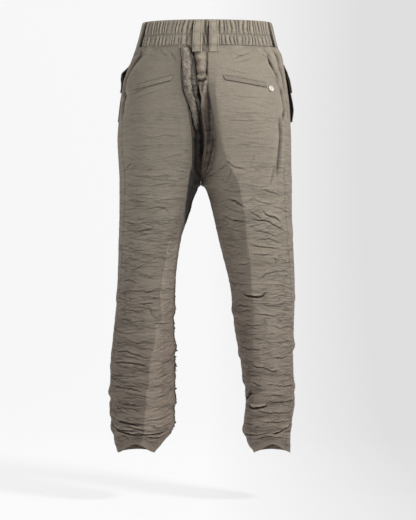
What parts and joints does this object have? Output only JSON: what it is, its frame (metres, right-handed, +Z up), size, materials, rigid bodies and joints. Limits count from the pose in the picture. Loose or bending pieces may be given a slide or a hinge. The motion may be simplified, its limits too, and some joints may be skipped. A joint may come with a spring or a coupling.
{
  "type": "cargo trousers",
  "caption": "Worn cargo trousers of crinkled cotton, hollow and open at waist and hems, with a gathered waistband, belt loops, slanted back pockets, flapped side pockets and tapered legs.",
  "frame": {"origin": "middle of the waist opening, halfway up the waistband, where the wearer's waist holds the trousers", "axes": "+Z up towards the waistband's top edge, -Y to the wearer's front, +X to the wearer's left"},
  "size_m": [0.4082, 0.2572, 0.94],
  "materials": {
    "cotton": "matte crinkled plain weave",
    "black_facing": "matte black twill",
    "nickel": "satin metal",
    "horn_button": "satin dark horn"
  },
  "bodies": {
    "root": {"back_left": "cotton", "back_right": "cotton", "front_left": "cotton", "front_right": "cotton", "seat_gusset": "cotton", "raw_edge_strip": "cotton", "waistband_back": "cotton", "waistband_front_left": "cotton", "waistband_front_right": "cotton", "belt_loop_back_left": "cotton", "belt_loop_back_right": "cotton", "belt_loop_front_left": "cotton", "belt_loop_front_right": "cotton", "welt_left": "cotton", "welt_right": "cotton", "fly_placket": "cotton", "cargo_face_left": "cotton", "cargo_face_right": "cotton", "cargo_flap_left": "cotton", "cargo_flap_right": "cotton", "cargo_bellows_left": "black_facing", "cargo_bellows_right": "black_facing", "welt_snap": "nickel", "cargo_snap_left": "nickel", "cargo_snap_right": "nickel", "waist_button": "horn_button"}
  },
  "joints": []
}
